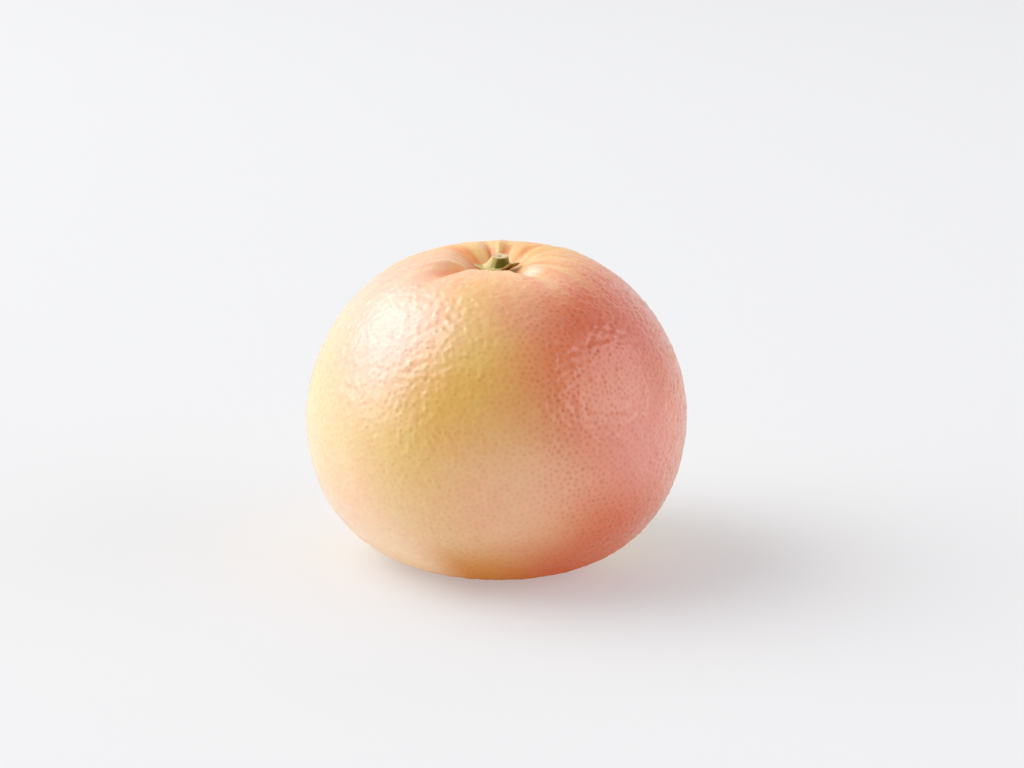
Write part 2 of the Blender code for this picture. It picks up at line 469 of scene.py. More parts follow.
# %% Turn the triangles into cells
glands = list(net.verts)
ties = list(net.edges)
bmesh.ops.poke(net, faces=list(net.faces))
bmesh.ops.rotate_edges(net, edges=ties, use_ccw=True)
bmesh.ops.dissolve_verts(net, verts=glands)
for _ in range(RELAX_ROUNDS):
    ease_apart()
cells = list(net.faces)
side_counts = {}
cell_size = []
for number, cell in enumerate(cells):
    cell[gland_number] = number
    cell_size.append(math.sqrt(cell.calc_area() / (4 * math.pi / len(cells))))
    side_counts[len(cell.verts)] = side_counts.get(len(cell.verts), 0) + 1
print(len(cells), "cells, by their number of sides:", dict(sorted(side_counts.items())))

# %% [markdown]
# ## From cells to pits
#
# Between the pits the peel is a rounded ridge, so each cell gets a rim set in from its border, and a
# point at its middle. Only how deep each point lies is kept here. The corners between cells are at 0,
# the rim is a little lower, and the middle is at the bottom of the pit. Bigger cells have deeper pits.

# %% Rims and bottoms of the pits
RIM_WIDTH = 0.20  # as a share of the gland spacing
RIM_DEPTH = 0.22  # as a share of the pit's depth
PIT_DEPTH_SPREAD = 0.25

bmesh.ops.inset_individual(net, faces=cells, thickness=RIM_WIDTH * gland_spacing, use_even_offset=False)
for cell in cells:
    for vertex in cell.verts:
        vertex[pit_depth] = RIM_DEPTH
poked = bmesh.ops.poke(net, faces=cells)
gland_vertex = {}
for bottom in poked["verts"]:
    number = bottom.link_faces[0][gland_number]
    bottom[pit_depth] = cell_size[number] ** 2 + draw.uniform(-PIT_DEPTH_SPREAD, PIT_DEPTH_SPREAD)
    gland_vertex[number] = bottom
print(len(gland_vertex), "pits,", sum(len(face.verts) - 2 for face in net.faces), "triangles in all")

# %% [markdown]
# ## Lay the net on the fruit
#
# The net was made on a ball, and the fruit is flatter. If a point simply kept its angle, the pits
# would be stretched at the equator and crowded at the poles. So the net is laid on by area: a point
# with a tenth of the ball above it goes where a tenth of the peel is above it. The share of the peel
# above each angle is summed up in bands first, and every point then looks its angle up there.

# %% Share of the peel above each angle from the crown
AREA_STEPS = 720

angles = np.linspace(0.0, math.pi, AREA_STEPS + 1)
profile_radius = []
profile_height = []
for angle in angles:
    radius, height = body_point(angle)
    sink = dish_sink(radius, 0.0) if height > EQUATOR_HEIGHT else 0.0
    profile_radius.append(radius)
    profile_height.append(flattened(height - sink))
slant = np.hypot(np.diff(profile_radius), np.diff(profile_height))
profile_radius = np.array(profile_radius)
bands = math.pi * (profile_radius[1:] + profile_radius[:-1]) * slant
area_above = np.concatenate(([0.0], np.cumsum(bands)))
peel_area = area_above[-1]
spacing_mm = math.sqrt(peel_area / (len(gland_vertex) * math.sin(math.pi / 3)))
print("peel area", round(peel_area / 100, 1), "square cm, glands", round(spacing_mm, 2), "mm apart")

# %% Place every point of the net
SCAR_HEIGHT = 0.9  # the blossom's scar is a small hollow in the underside
SCAR_RADIUS = 2.8


def skin_point(direction):
    """The place on the skin, in millimetres, for a point of the ball, and its share of a furrow."""
    azimuth = math.atan2(direction.y, direction.x)
    share = (1 - direction.z) / 2 * peel_area
    from_crown = float(np.interp(share, area_above, angles))
    radius, height = body_point(from_crown)
    furrow = 0.0
    if height > EQUATOR_HEIGHT:
        fold, furrow = fold_sink(radius, azimuth)
        height -= dish_sink(radius, azimuth) + fold
    elif radius < 3 * SCAR_RADIUS:
        height = flattened(height) + SCAR_HEIGHT * math.exp(-((radius / SCAR_RADIUS) ** 2))
    else:
        height = flattened(height)
    swell = math.sin(from_crown) ** 2
    for count, size, peak in SWELLINGS:
        radius += size * swell * math.cos(count * turn_between(azimuth, peak))
    shift = BASE_SHIFT * max(1 - height / EQUATOR_HEIGHT, 0.0) ** 2
    return Vector((radius * math.cos(azimuth) + shift, radius * math.sin(azimuth), height)), furrow


for vertex in net.verts:
    place, furrow = skin_point(vertex.co)
    vertex.co = place
    vertex[furrow_share] = furrow
net.normal_update()
inward = sum(1 for face in net.faces if face.normal.dot(face.calc_center_median() - AIM / MM) < 0)
print("faces that point inward:", inward)

# %% [markdown]
# ## Press the pits in
#
# The pits are shallow, less than a tenth of a millimetre, and fade beside the stem, where the peel is
# drawn tight. The peel between them isn't smooth either: it swells and dips slightly from one pit to
# the next and over a few pits, and that is what breaks the edge of the gleam into ripples. Three
# sizes of noise along the normals make these swellings, weaker low on the left side, where the real
# peel is smoother. Fine creases run out from the stem: noise that is read round a circle, so it
# changes quickly from one azimuth to the next and only slowly on the way out.

# %% Pits, swellings and creases
PIT_DEPTH = 0.035
CALM_RADIUS = (6.0, 26.0)  # the pits come in between these distances from the stem
CALM_SHARE = 0.35  # what is left of the relief beside the stem
Swelling = namedtuple("Swelling", "size height")
PEEL_SWELLINGS = (Swelling(1.4, 0.27), Swelling(4.0, 0.04), Swelling(12.0, 0.10))
LOW_LEFT_CALM = 0.5
LEFT_RANGE = (10.0, 40.0)  # how far to the left the peel gets smoother
LOW_RANGE = (42.0, 58.0)  # and between which heights
CREASE_HEIGHT = 0.30
CREASE_START = (4.0, 9.0)
CREASE_END = (14.0, 30.0)
CREASES_AROUND = 7.0
CREASE_DRIFT = 0.06
TURNED_OVER = 0.2  # the least of its old direction that a face's normal has to keep


def eased(value, low, high):
    """0 below one value, 1 above the other, and a smooth step between them."""
    share = max(0.0, min(1.0, (value - low) / (high - low)))
    return share * share * (3 - 2 * share)


moves = []
for vertex in net.verts:
    place = vertex.co
    from_stem = math.hypot(place.x, place.y) if place.z > EQUATOR_HEIGHT else EQUATOR_RADIUS
    strength = CALM_SHARE + (1 - CALM_SHARE) * eased(from_stem, *CALM_RADIUS)
    rise = -PIT_DEPTH * vertex[pit_depth]
    low_left = eased(-place.x, *LEFT_RANGE) * (1 - eased(place.z, *LOW_RANGE))
    unevenness = 1 - LOW_LEFT_CALM * low_left
    for swelling in PEEL_SWELLINGS:
        wave = noise.noise(place / swelling.size + Vector((swelling.size, 0.0, 0.0)))
        rise += unevenness * swelling.height * wave
    rise *= strength
    ray = Vector((place.x, place.y, 0.0)).normalized() * CREASES_AROUND
    creased = eased(from_stem, *CREASE_START) * (1 - eased(from_stem, *CREASE_END))
    rise += CREASE_HEIGHT * creased * noise.noise(ray + Vector((0.0, 0.0, CREASE_DRIFT * from_stem)))
    moves.append(vertex.normal * rise)
facing = [face.normal.copy() for face in net.faces]
for vertex, move in zip(net.verts, moves):
    vertex.co = vertex.co + move
    vertex.co.z = max(vertex.co.z, 0.0)
    vertex.co *= MM
net.normal_update()
turned = [face for face, normal in zip(net.faces, facing) if face.normal.dot(normal) < TURNED_OVER]
print("faces that the relief turned over:", len(turned))
for face in net.faces:
    face[gland_place] = gland_vertex[face[gland_number]].co
sizes = [move.length for move in moves]
print("points were moved by", round(min(sizes), 3), "to", round(max(sizes), 3), "mm")

# %% [markdown]
# ## The peel takes the solid's place
#
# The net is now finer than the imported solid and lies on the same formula, so it takes the solid's
# place in the picture. A tree of the solid's faces tells how close the two are.

# %% The peel as an object
CHECK_EVERY = 20  # points

peel = add_object("peel", net)
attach(peel, "root")
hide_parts("fruit")
fruit_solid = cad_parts["fruit"].data
solid_tree = BVHTree.FromPolygons(
    [vertex.co for vertex in fruit_solid.vertices], [tuple(face.vertices) for face in fruit_solid.polygons]
)
checked = list(peel.data.vertices)[::CHECK_EVERY]
gaps = [solid_tree.find_nearest(vertex.co)[3] / MM for vertex in checked]
print("from the solid, mm: at most", round(max(gaps), 2), "and on average", round(sum(gaps) / len(gaps), 3))

# %% [markdown]
# ## Effects that more than one material uses
#
# Soft patches of colour are round spots in space, with an edge that noise makes uneven. Streaks run
# out from the stem, both in the peel of the crown and in the fibres of the calyx and the stem, and
# are made as the creases were. Each effect is a node group, built once.

# %% Soft patch group
tree, given, result = new_group(
    "soft patch",
    (
        ("Vector", "NodeSocketVector", (0.0, 0.0, 0.0)),
        ("Centre", "NodeSocketVector", (0.0, 0.0, 0.0)),
        ("Radius", "NodeSocketFloat", 0.03),
        ("Edge", "NodeSocketFloat", 0.01),
        ("Unevenness", "NodeSocketFloat", 0.01),
        ("Noise Scale", "NodeSocketFloat", 40.0),
    ),
    (("Mask", "NodeSocketFloat"),),
)
wander = read_noise(tree, given["Vector"], given["Noise Scale"], 1.0, 0.4)
wave = calculate(tree, "SUBTRACT", wander, 0.5)
from_centre = distance(tree, given["Vector"], given["Centre"])
from_centre = calculate(tree, "MULTIPLY_ADD", wave, given["Unevenness"], from_centre)
inner = calculate(tree, "SUBTRACT", given["Radius"], given["Edge"])
outer = calculate(tree, "ADD", given["Radius"], given["Edge"])
feed(tree, result, {"Mask": remap(tree, from_centre, inner, outer, 1.0, 0.0)})
patch_group = tree

# %% Streak group
tree, given, result = new_group(
    "streaks from the stem",
    (
        ("Vector", "NodeSocketVector", (0.0, 0.0, 0.0)),
        ("Around", "NodeSocketFloat", 6.0),
        ("Along", "NodeSocketFloat", 60.0),
    ),
    (("Streak", "NodeSocketFloat"),),
)
flat = vector_step(tree, "MULTIPLY", given["Vector"], (1.0, 1.0, 0.0))
length = vector_step(tree, "LENGTH", flat, output="Value")
ray = vector_step(tree, "NORMALIZE", flat)
ray = vector_step(tree, "MULTIPLY", ray, given["Around"])
rise = add_node(tree, "ShaderNodeSeparateXYZ", {0: given["Vector"]}).outputs["Z"]
out = product(tree, calculate(tree, "ADD", length, rise), given["Along"])
lift = add_node(tree, "ShaderNodeCombineXYZ", {"Z": out}).outputs[0]
lines = read_noise(tree, vector_step(tree, "ADD", ray, lift), 1.0, 3.0)
feed(tree, result, {"Streak": remap(tree, lines, 0.35, 0.65)})
streak_group = tree
print("groups:", [group.name for group in bpy.data.node_groups])

# %% [markdown]
# ## The colours of the peel
#
# The ripe peel is yellow where leaves shaded it and coral where the sun reached it. The change is
# soft, through orange, and uneven at its edge. Painting it would need an image, so each patch of
# colour is a soft patch round a point of the fruit, laid over the ones before it by its share. Two of
# them are on the back, which the photograph doesn't show. Some patches also hold painted light and
# shade: a paler pink under the gleam, a paler sheen on the coral side, painted shade at the base, and
# painted light low on the left.

# %% Patches of colour
YELLOW = (0.85, 0.54, 0.165)
Patch = namedtuple(
    "Patch", "name colour centre radius edge unevenness share noise_scale", defaults=(40.0,)
)
PATCHES = (
    Patch("cream_yellow", (0.84, 0.66, 0.34), (-54.0, -24.0, 50.0), 26.0, 16.0, 8.0, 0.85),
    Patch("cream_high", (0.90, 0.70, 0.44), (-42.0, -8.0, 77.0), 13.0, 11.0, 6.0, 0.7),
    # partly pink blush and partly painted light: paler low on the left, where the bright table on the left
    # lights the peel
    Patch("pink_and_lit_low", (1.0, 0.65, 0.42), (-43.0, -36.0, 14.0), 25.0, 16.0, 8.0, 0.9),
    # partly pink blush and partly a painted highlight: paler and bluer under the gleam, so the gleam shows
    # pinkish white
    Patch("pink_and_painted_gleam", (0.84, 0.47, 0.40), (-31.0, -31.0, 73.0), 19.0, 16.0, 6.0, 0.8),
    Patch("olive_yellow", (0.79, 0.455, 0.09), (-8.0, -54.0, 55.0), 17.0, 13.0, 8.0, 0.95),
    Patch("coral", (0.81, 0.22, 0.085), (50.0, -22.0, 55.0), 51.0, 12.0, 8.0, 1.0),
    # partly coral blush and partly a painted sheen: paler and bluer where the lamp on the right is mirrored
    Patch("rose_and_painted_sheen_right", (0.86, 0.30, 0.225), (42.0, -36.0, 43.0), 17.0, 13.0, 8.0, 0.85),
    Patch("deep_coral", (0.72, 0.125, 0.05), (33.0, -21.0, 78.0), 22.0, 12.0, 8.0, 0.82),
    Patch("rose_front", (0.98, 0.49, 0.30), (6.0, -54.0, 30.0), 21.0, 15.0, 8.0, 0.75),
    # partly golden colour and partly painted shade: darker at the base, where the fruit meets the table
    Patch("gold_and_shaded_base", (0.74, 0.25, 0.0), (2.0, -26.0, -7.0), 30.0, 9.0, 8.0, 1.0),
    Patch("coral_low", (0.74, 0.10, 0.0), (28.0, -37.0, 6.0), 22.0, 13.0, 8.0, 0.9),
    # painted light: paler low on the left, where light from the table falls
    Patch("painted_light_low", (1.0, 0.68, 0.39), (-26.0, -29.0, 9.0), 14.0, 7.0, 4.0, 0.9),
    Patch("back_blush", (0.84, 0.34, 0.18), (16.0, 50.0, 60.0), 24.0, 16.0, 12.0, 0.4),
    Patch("back_pale", (0.90, 0.62, 0.27), (-30.0, 46.0, 30.0), 22.0, 16.0, 12.0, 0.6),
    Patch("peach_crown", (0.89, 0.52, 0.225), (-2.0, -8.0, 96.0), 25.0, 9.0, 6.0, 0.9),
    Patch("rose_lobe", (0.82, 0.33, 0.23), (7.0, -33.0, 81.0), 9.0, 8.0, 4.0, 0.7),
    Patch("pink_shoulder", (0.95, 0.55, 0.43), (-25.0, -12.0, 88.0), 17.0, 10.0, 6.0, 0.85),
    Patch("pink_fold", (0.90, 0.40, 0.27), (13.0, -21.0, 86.0), 8.0, 6.0, 4.0, 0.75),
)


def paint(tree, place, colour, patches):
    """A colour with patches laid over it in their order, and the mask of each patch by its name."""
    masks = {}
    for patch in patches:
        settings = {
            "Vector": place,
            "Centre": [value * MM for value in patch.centre],
            "Radius": patch.radius * MM,
            "Edge": patch.edge * MM,
            "Unevenness": patch.unevenness * MM,
            "Noise Scale": patch.noise_scale,
        }
        masks[patch.name] = use_group(tree, patch_group, settings)["Mask"]
        colour = blend(tree, product(tree, masks[patch.name], patch.share), colour, patch.colour)
    return colour, masks


material, tree, surface = new_material("peel")
peel.data.materials.append(material)
spot = add_node(tree, "ShaderNodeTexCoord").outputs["Object"]
colour, patch_mask = paint(tree, spot, YELLOW, PATCHES)
print(len(patch_mask), "patches")

# %% [markdown]
# ## Furrows, streaks and mottling
#
# The furrows of the crown are painted more orange than the lobes between them, as painted shade, and
# one fold in front of the stem catches the light and is painted pale, as painted light. Fine streaks
# run from the stem down to the shoulder. The whole peel is faintly mottled. The painted shade of the
# furrows comes from the value that the mesh keeps at each point, so it sits exactly in the fold.

# %% Furrows, streaks and mottling
PAINTED_FURROW_SHADE = (0.90, 0.24, 0.03)
FURROW_SHADE_SHARE = 0.9
PAINTED_LIGHT_FOLD = Patch("painted_light_fold", (1.0, 0.82, 0.66), (8.6, -12.0, 86.0), 3.6, 3.0, 1.5, 0.95)
STREAK_LIGHT = (0.93, 0.62, 0.26)
STREAK_PINK = (0.90, 0.38, 0.20)
LIGHT_SHARE = 0.5
PINK_SHARE = 0.35
STEM_PLACE = (0.0, 0.0, 90.0 * MM)
STREAK_REACH = (20.0 * MM, 44.0 * MM)
MOTTLES = ((90.0, 0.025), (420.0, 0.035))  # the scale of the noise, and its strength

# painted shade: the furrows of the crown are coloured orange by how far each point lies in a fold
furrow = remap(tree, kept_by_mesh(tree, "furrow"), 0.05, 0.9, 0.0, FURROW_SHADE_SHARE)
colour = blend(tree, furrow, colour, PAINTED_FURROW_SHADE)
# painted light: the fold in front of the stem is painted pale where it catches the light
colour, _ = paint(tree, spot, colour, [PAINTED_LIGHT_FOLD])
streak = use_group(tree, streak_group, {"Vector": spot, "Around": 9.0, "Along": 45.0})["Streak"]
near_stem = remap(tree, distance(tree, spot, STEM_PLACE), *STREAK_REACH, 1.0, 0.0)
light_share = product(tree, streak, product(tree, near_stem, LIGHT_SHARE))
colour = blend(tree, light_share, colour, STREAK_LIGHT)
between = calculate(tree, "SUBTRACT", 1.0, streak)
pink_share = product(tree, between, product(tree, near_stem, PINK_SHARE))
colour = blend(tree, pink_share, colour, STREAK_PINK)
for scale, strength in MOTTLES:
    cloud = read_noise(tree, spot, scale, 2.0)
    level = remap(tree, cloud, 0.3, 0.7, 1.0 - strength, 1.0 + strength)
    grey = add_node(tree, "ShaderNodeCombineColor", {0: 1.0, 1: level, 2: level}).outputs[0]
    colour = blend(tree, 1.0, colour, grey, "MULTIPLY")
print("furrows, streaks and mottling ready")

# %% [markdown]
# ## The glands as dots
#
# The oil in a gland is clear and the pit over it is in shade, so each gland shows as a small darker
# dot: partly the gland's own colour, partly painted shade of the pit. Every face of the mesh keeps the
# place of its gland, and the distance to it draws a round dot in each cell. White noise read at that
# place gives every dot a width and a strength of its own. The dots are strongest on the coral side
# and weaker on the palest patches, on the painted sheen and at the stem.

# %% Dots of the glands
DOT_RADIUS = 0.86 * MM
DOT_TINT_AND_SHADE = (0.80, 0.64, 0.58)
DOT_WIDTHS = (0.75, 1.25)  # as shares of the radius
DOT_STRENGTHS = (0.55, 1.0)
DOTS_BY_CORAL = (0.33, 0.9)  # off the coral side, and on it
DOTS_AT_STEM = 0.35
DOTS_ON_PATCHES = (("cream_yellow", 0.4), ("pink_and_lit_low", 0.4), ("rose_and_painted_sheen_right", 0.7))
RESHUFFLE = 7.31  # makes a second random number from the first

gland = kept_by_mesh(tree, "gland", "Vector")
dice = add_node(tree, "ShaderNodeTexWhiteNoise", {"Vector": gland}, noise_dimensions="3D")
luck = dice.outputs["Value"]
more_luck = calculate(tree, "FRACT", product(tree, luck, RESHUFFLE))
width = remap(tree, luck, 0.0, 1.0, *DOT_WIDTHS)
from_gland = calculate(tree, "DIVIDE", distance(tree, spot, gland), width)
dot = remap(tree, from_gland, 0.0, DOT_RADIUS, 1.0, 0.0)
shade = remap(tree, patch_mask["coral"], 0.0, 1.0, *DOTS_BY_CORAL)
for name, left_over in DOTS_ON_PATCHES:
    shade = product(tree, shade, remap(tree, patch_mask[name], 0.0, 1.0, 1.0, left_over))
shade = product(tree, shade, remap(tree, near_stem, 0.0, 1.0, 1.0, DOTS_AT_STEM))
shade = product(tree, shade, remap(tree, more_luck, 0.0, 1.0, *DOT_STRENGTHS))
# painted shade: each gland's dot darkens the colour, partly its own tint and partly the shade of its pit
colour = blend(tree, product(tree, dot, shade), colour, DOT_TINT_AND_SHADE, "MULTIPLY")
feed(tree, surface, {"Base Color": colour})
print("dots ready")

# %% [markdown]
# ## The wax and the depth of the peel
#
# Natural wax makes the peel shine. It shines less where the peel is creased round the stem, and near
# the table, where the photographed fruit is dull. So the shader's coat is the wax, with a value that
# falls in both places, and the peel under it gets rougher towards the base. A little light goes into
# the peel and comes out redder close by, which softens the pits.

# %% Gloss and fine relief
DOT_DEPTH = 0.03 * MM
DOT_DULLNESS = 0.1
WAX = 0.9
WAX_LOST_AT_STEM = 0.75
BASE_TOP = 18.0 * MM  # below this height the wax fades
BASE_ROUGHNESS = 0.85
PEEL_ROUGHNESS = 0.36

add_bump(tree, surface, product(tree, dot, -DOT_DEPTH))
above_table = add_node(tree, "ShaderNodeSeparateXYZ", {0: spot}).outputs["Z"]
wax = calculate(tree, "MULTIPLY_ADD", near_stem, -WAX_LOST_AT_STEM, WAX)
wax = product(tree, wax, remap(tree, above_table, 0.0, BASE_TOP))
roughness = remap(tree, above_table, 0.0, BASE_TOP, BASE_ROUGHNESS, PEEL_ROUGHNESS)
roughness = calculate(tree, "MULTIPLY_ADD", dot, DOT_DULLNESS, roughness)
feed(tree, surface, {"Roughness": roughness, "IOR": 1.5, "Coat Weight": wax, "Coat Roughness": 0.22})
feed(tree, surface, {"Subsurface Weight": 0.15, "Subsurface Scale": 1.5 * MM})
feed(tree, surface, {"Subsurface Radius": (1.0, 0.45, 0.18)})
print("peel material has", len(tree.nodes), "nodes")

# %% [markdown]
# ## The calyx
#
# The calyx is what is left of the flower's sepals: a thick green core that the stem grows out of,
# with five pointed lobes that have dried at their tips. At the front right its rim stands up like the
# wall of a cup. It starts as a ball pressed flat. Each point is then moved out to the star's outline
# and laid on the bottom of the dish, and the lobes curl up or down towards their tips. A vein runs
# down each lobe, and noise makes the outline and the surface uneven.

# %% The calyx's outline and relief
GAP = 0.3  # between the solid of one piece and the next
CALYX_SEGMENTS = 160
CALYX_RINGS = 28
CALYX_CORE_RADIUS = 3.9
CALYX_THICKNESS = 0.9
LOBE_SWELL = 0.35  # how much thicker the lobes are here than in the solid
LOBE_HALF_WIDTH = 24.0  # degrees
LOBE_FULLNESS = 0.5  # below 1, the star stays thick out to its edge
Lobe = namedtuple("Lobe", "azimuth length curl dryness")
LOBES = (
    Lobe(2, 6.5, -0.3, 0.9),
    Lobe(92, 5.6, 0.2, 0.8),
    Lobe(190, 6.4, 0.0, 0.45),
    Lobe(252, 6.2, 0.0, 0.5),
    Lobe(302, 6.6, 0.1, 1.0),
)
CURL_RADIUS = 6.0  # where a lobe has curled by its whole amount
DRY_RADII = (3.4, 6.6)
CUP_HEIGHT = 1.5
CUP_AZIMUTH = -38.0
CUP_HALF_WIDTH = 36.0  # degrees
CUP_RADII = (3.0, 5.6)
VEIN_HEIGHT = 0.14
VEIN_HALF_WIDTH = 0.30
VEIN_RADII = (1.5, 3.0)  # where a vein begins
UPPER_SIDE = (-0.2, 0.5)  # heights on the ball between which the veins come in
OUTLINE_NOISE = ((3, 0.16, 7.0), (9, 0.08, 2.0))  # waves around, their height, where the noise is read
CALYX_NOISE_HEIGHT = 0.07
CALYX_NOISE_SCALE = 1.6


def calyx_outline(azimuth):
    """How far the calyx reaches, its curl and dryness there, and the angle to the nearest vein."""
    reach = CALYX_CORE_RADIUS
    curl = 0.0
    dryness = 0.0
    nearest = math.pi
    for lobe in LOBES:
        turn = turn_between(azimuth, lobe.azimuth)
        on_lobe = math.exp(-((turn / math.radians(LOBE_HALF_WIDTH)) ** 2))
        reach += (lobe.length - CALYX_CORE_RADIUS) * on_lobe
        curl += lobe.curl * on_lobe
        dryness += lobe.dryness * on_lobe
        nearest = min(nearest, abs(turn))
    for around, size, level in OUTLINE_NOISE:
        reach += size * noise.noise(Vector((around * math.cos(azimuth), around * math.sin(azimuth), level)))
    return reach, curl, dryness, nearest


calyx_shape = bmesh.new()
bmesh.ops.create_uvsphere(calyx_shape, u_segments=CALYX_SEGMENTS, v_segments=CALYX_RINGS, radius=1.0)
tip_share = calyx_shape.verts.layers.float.new("tip")
vein_share = calyx_shape.verts.layers.float.new("vein")
for vertex in calyx_shape.verts:
    azimuth = math.atan2(vertex.co.y, vertex.co.x)
    from_top = math.acos(max(-1.0, min(1.0, vertex.co.z)))
    reach, curl, dryness, nearest = calyx_outline(azimuth)
    radius = reach * max(math.sin(from_top), 0.0) ** LOBE_FULLNESS
    place = Vector((radius * math.cos(azimuth), radius * math.sin(azimuth), 0.0))
    vein = math.exp(-((radius * nearest / VEIN_HALF_WIDTH) ** 2)) * eased(radius, *VEIN_RADII)
    cup = math.exp(-((turn_between(azimuth, CUP_AZIMUTH) / math.radians(CUP_HALF_WIDTH)) ** 2))
    height = smooth_crown_height(radius, azimuth) + GAP
    height += (CALYX_THICKNESS + LOBE_SWELL) * (1 + vertex.co.z) / 2
    height += curl * (radius / CURL_RADIUS) ** 4
    height += VEIN_HEIGHT * vein * eased(vertex.co.z, *UPPER_SIDE)
    height += CUP_HEIGHT * cup * eased(radius, *CUP_RADII)
    height += CALYX_NOISE_HEIGHT * noise.noise(place * CALYX_NOISE_SCALE)
    vertex.co = Vector((place.x, place.y, height)) * MM
    vertex[tip_share] = eased(radius, *DRY_RADII) * dryness
    vertex[vein_share] = vein
calyx = add_object("calyx_star", calyx_shape)
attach(calyx, "root")
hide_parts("calyx")
lowest = [round(value / MM, 2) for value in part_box("calyx")[0]]
print("calyx from", lowest, "has", len(calyx.data.polygons), "faces")

# %% [markdown]
# ## The colours of the calyx
#
# The core is olive green with paler fibres and veins, and the tips are dry and brown. The left of the
# star catches the light and is painted paler, as painted light. The cup's outside is brown and darkened
# further by painted shade, and its hollow is painted dark, as painted shade. Where the brown of a dry
# tip begins, fine noise makes it speckled. The colours change within a millimetre, so the patches here
# use a much finer noise than the peel's.

# %% Calyx material
CALYX_GREEN = (0.38, 0.32, 0.07)
CALYX_PALE = (0.72, 0.58, 0.25)
CALYX_DRY = (0.40, 0.22, 0.06)
CALYX_BROWN_SHADE = (0.17, 0.08, 0.003)
CALYX_HOLLOW_SHADE = (0.10, 0.07, 0.004)
# painted light on the left of the star, brown with painted shade on the cup's outside, and painted shade in
# the cup's hollow
CALYX_PATCHES = (
    Patch("lit_left", CALYX_PALE, (-4.0, -2.0, 86.0), 4.2, 1.6, 1.5, 0.7, 500.0),
    Patch("brown_shaded_cup_outside", CALYX_BROWN_SHADE, (4.2, -4.6, 85.2), 3.1, 0.9, 1.5, 1.0, 700.0),
    Patch("cup_hollow_shade", CALYX_HOLLOW_SHADE, (2.2, -2.4, 86.6), 1.9, 0.6, 0.8, 0.85, 900.0),
)
PALE_FIBRES = 0.55
PALE_VEINS = 0.6
SPECKLING = 0.9
FIBRE_DEPTH = 0.05 * MM
CALYX_GRAIN = 0.08 * MM

material, tree, surface = new_material("calyx")
calyx.data.materials.append(material)
spot = add_node(tree, "ShaderNodeTexCoord").outputs["Object"]
tip = kept_by_mesh(tree, "tip")
vein = kept_by_mesh(tree, "vein")
fibre = use_group(tree, streak_group, {"Vector": spot, "Around": 16.0, "Along": 260.0})["Streak"]
grain = read_noise(tree, spot, 900.0, 3.0)
colour = blend(tree, product(tree, fibre, PALE_FIBRES), CALYX_GREEN, CALYX_PALE)
colour = blend(tree, product(tree, vein, PALE_VEINS), colour, CALYX_PALE)
colour, _ = paint(tree, spot, colour, CALYX_PATCHES)
speckle = calculate(tree, "SUBTRACT", grain, 0.5)
dry = calculate(tree, "MULTIPLY_ADD", speckle, SPECKLING, tip)
colour = blend(tree, remap(tree, dry, 0.35, 0.85, 0.0, 0.9), colour, CALYX_DRY)
roughness = remap(tree, tip, 0.0, 1.0, 0.48, 0.75)
height = calculate(tree, "MULTIPLY_ADD", fibre, FIBRE_DEPTH, product(tree, grain, CALYX_GRAIN))
add_bump(tree, surface, height)
feed(tree, surface, {"Base Color": colour, "Roughness": roughness, "Specular IOR Level": 0.25})
print("calyx material ready")

# %% [markdown]
# ## The stub of the stem
#
# The stem was cut with shears just above the calyx. Its wall narrows from the foot upwards, and the
# cut face is slightly hollow, with a dent at the pith. The stub is a circle that is extruded ring by
# ring along a profile and closed at both ends. It is built upright, and leaned and moved to its place
# at the end.

# %% Rings of the stub
STUB_SEGMENTS = 96
Station = namedtuple("Station", "radius height")
PROFILE = (
    (0.6, 0.0), (1.8, 0.0), (2.8, 0.0), (3.05, 0.08), (2.98, 0.25), (2.82, 0.45), (2.68, 0.7),
    (2.58, 1.0), (2.52, 1.3), (2.48, 1.6), (2.46, 1.9), (2.46, 2.15), (2.45, 2.35), (2.42, 2.48),
    (2.34, 2.57), (2.2, 2.6), (2.05, 2.58), (1.8, 2.52), (1.5, 2.47), (1.15, 2.44), (0.85, 2.42),
    (0.65, 2.34), (0.4, 2.28), (0.2, 2.27),
)
STATIONS = [Station(*pair) for pair in PROFILE]

stub_shape = bmesh.new()
first_ring = bmesh.ops.create_circle(stub_shape, segments=STUB_SEGMENTS, radius=STATIONS[0].radius)["verts"]
ring = first_ring
rim = list({edge for vertex in ring for edge in vertex.link_edges})
for before, after in zip(STATIONS, STATIONS[1:]):
    grown = bmesh.ops.extrude_edge_only(stub_shape, edges=rim)["geom"]
    ring = [element for element in grown if isinstance(element, bmesh.types.BMVert)]
    rim = [element for element in grown if isinstance(element, bmesh.types.BMEdge)]
    wider = after.radius / before.radius
    bmesh.ops.scale(stub_shape, vec=(wider, wider, 1.0), verts=ring)
    bmesh.ops.translate(stub_shape, vec=(0.0, 0.0, after.height - before.height), verts=ring)
for last_ring in (first_ring, ring):
    middle = sum((vertex.co for vertex in last_ring), Vector()) / len(last_ring)
    bmesh.ops.pointmerge(stub_shape, verts=last_ring, merge_co=middle)
bmesh.ops.recalc_face_normals(stub_shape, faces=list(stub_shape.faces))
print("stub has", len(stub_shape.faces), "faces")

# %% [markdown]
# ## Ribs, flare and lean of the stub
#
# A low rib runs down to each lobe, and on the left the foot flares out far into the calyx. Fibres run
# up the wall, and the shears left the cut face uneven. Before a point is moved, it keeps its own
# place, so the material can tell the wall from the cut face. The foot is sunk into the calyx, because
# on the real fruit the two have grown together.

